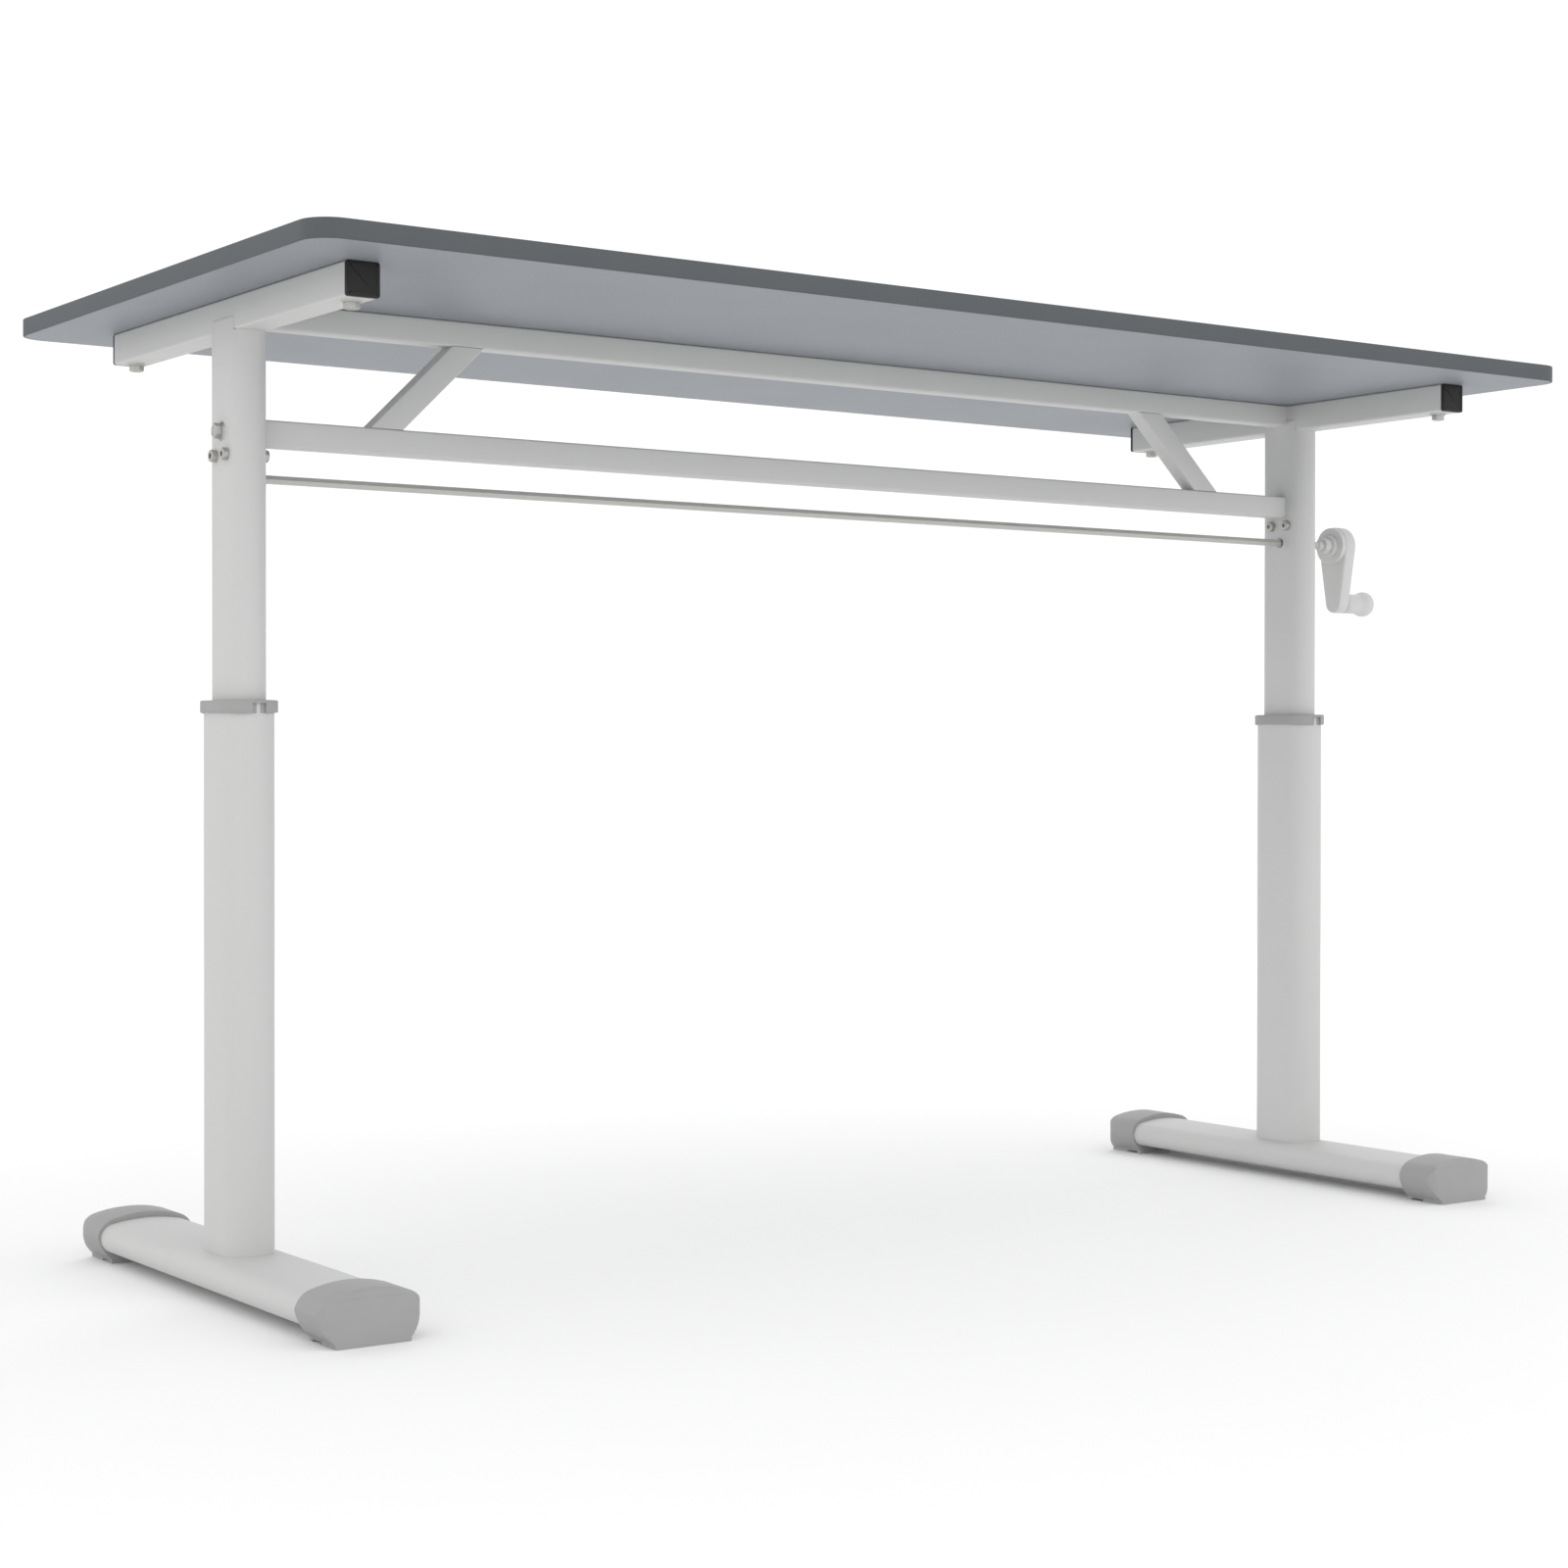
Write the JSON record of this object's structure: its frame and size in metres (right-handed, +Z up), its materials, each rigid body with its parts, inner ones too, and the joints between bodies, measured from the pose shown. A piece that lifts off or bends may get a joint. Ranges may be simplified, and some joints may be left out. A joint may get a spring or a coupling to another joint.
{
  "type": "height adjustable standing desk",
  "caption": "Height adjustable standing desk: rounded slab top on telescoping flat-oval legs with long feet, raised and lowered together by a side hand crank and cross shaft.",
  "frame": {"origin": "middle of the whole footprint, on the floor; the tabletop middle lies 25 mm towards -X from it because the crank reaches past the top", "axes": "+X along the desk towards the crank side, +Z up, +Y across the desk away from the front edge"},
  "size_m": [1.65, 0.72, 0.98],
  "materials": {
    "frame_paint": "light grey powder coat, satin",
    "top_board": "laminated particle board, light blue-grey fleck",
    "edge_plastic": "dark slate grey edge band, fine matt grain",
    "grey_plastic": "mid grey moulded plastic, fine texture",
    "crank_plastic": "light grey moulded plastic",
    "black_plastic": "black moulded plastic",
    "nylon": "natural nylon",
    "steel": "bright zinc plated steel",
    "drive_steel": "machined steel",
    "casting": "die cast aluminium",
    "brass": "machined brass"
  },
  "bodies": {
    "base_left": {"foot_tube_left": "frame_paint", "foot_cap_front_left": "grey_plastic", "foot_cap_back_left": "grey_plastic", "lower_column_left": "frame_paint", "glide_collar_left": "grey_plastic", "nut_tube_left": "frame_paint", "lead_nut_left": "brass"},
    "base_right": {"foot_tube_right": "frame_paint", "foot_cap_front_right": "grey_plastic", "foot_cap_back_right": "grey_plastic", "lower_column_right": "frame_paint", "glide_collar_right": "grey_plastic", "nut_tube_right": "frame_paint", "lead_nut_right": "brass"},
    "screw_left": {"lead_screw_left": "drive_steel", "screw_gear_left": "drive_steel"},
    "screw_right": {"lead_screw_right": "drive_steel", "screw_gear_right": "drive_steel"},
    "crank": {"cross_shaft": "steel", "crank_arm": "crank_plastic", "crank_screw": "steel", "grip_pin": "steel", "shaft_pinion_left": "drive_steel", "shaft_sleeve_left": "drive_steel", "shaft_pinion_right": "drive_steel", "shaft_sleeve_right": "drive_steel"},
    "grip": {"crank_grip": "crank_plastic"},
    "desk_top": {"beam_plug_back_left": "black_plastic", "beam_plug_back_right": "black_plastic", "beam_plug_front_left": "black_plastic", "beam_plug_front_right": "black_plastic", "brace_left": "frame_paint", "brace_right": "frame_paint", "cross_beam_left": "frame_paint", "cross_beam_right": "frame_paint", "gearbox_housing_left": "casting", "gearbox_housing_right": "casting", "gearbox_screws_left": "steel", "gearbox_screws_right": "steel", "lower_rail": "frame_paint", "rail_bolts": "steel", "rail_inserts": "steel", "rail_spacers": "steel", "slide_shoe_left": "nylon", "slide_shoe_right": "nylon", "tabletop_board": "top_board", "thrust_bearing_left": "drive_steel", "thrust_bearing_right": "drive_steel", "top_bolts": "steel", "top_edge_band": "edge_plastic", "top_inserts": "steel", "top_rail": "frame_paint", "upper_column_left": "frame_paint", "upper_column_right": "frame_paint"}
  },
  "joints": [
    {"name": "lift", "type": "slide", "parent": "base_left", "child": "desk_top", "axis": [0, 0, 1], "range_m": [-0.2, 0.2]},
    {"name": "right_leg_slide", "type": "slide", "parent": "desk_top", "child": "base_right", "axis": [0, 0, -1], "range_m": [-0.2, 0.2]},
    {"name": "crank_turn", "type": "hinge", "parent": "desk_top", "child": "crank", "pos_m": [0.72, -0.006, 0.791], "axis": [1, 0, 0], "range_deg": [-9000, 9000]},
    {"name": "screw_left_turn", "type": "hinge", "parent": "desk_top", "child": "screw_left", "pos_m": [-0.735, -0.006, 0.6], "axis": [0, 0, 1], "range_deg": [-9005, 9005]},
    {"name": "screw_right_turn", "type": "hinge", "parent": "desk_top", "child": "screw_right", "pos_m": [0.685, -0.006, 0.6], "axis": [0, 0, 1], "range_deg": [-9005, 9005]},
    {"name": "grip_spin", "type": "hinge", "parent": "crank", "child": "grip", "pos_m": [0.8, -0.006, 0.719], "axis": [1, 0, 0], "continuous": true}
  ],
  "couplings": [
    {"joint": "right_leg_slide", "follows": "lift", "ratio": 1},
    {"joint": "crank_turn", "follows": "lift", "rad_per_m": 785.4},
    {"joint": "screw_left_turn", "follows": "lift", "rad_per_m": 785.4},
    {"joint": "screw_right_turn", "follows": "lift", "rad_per_m": 785.4}
  ]
}
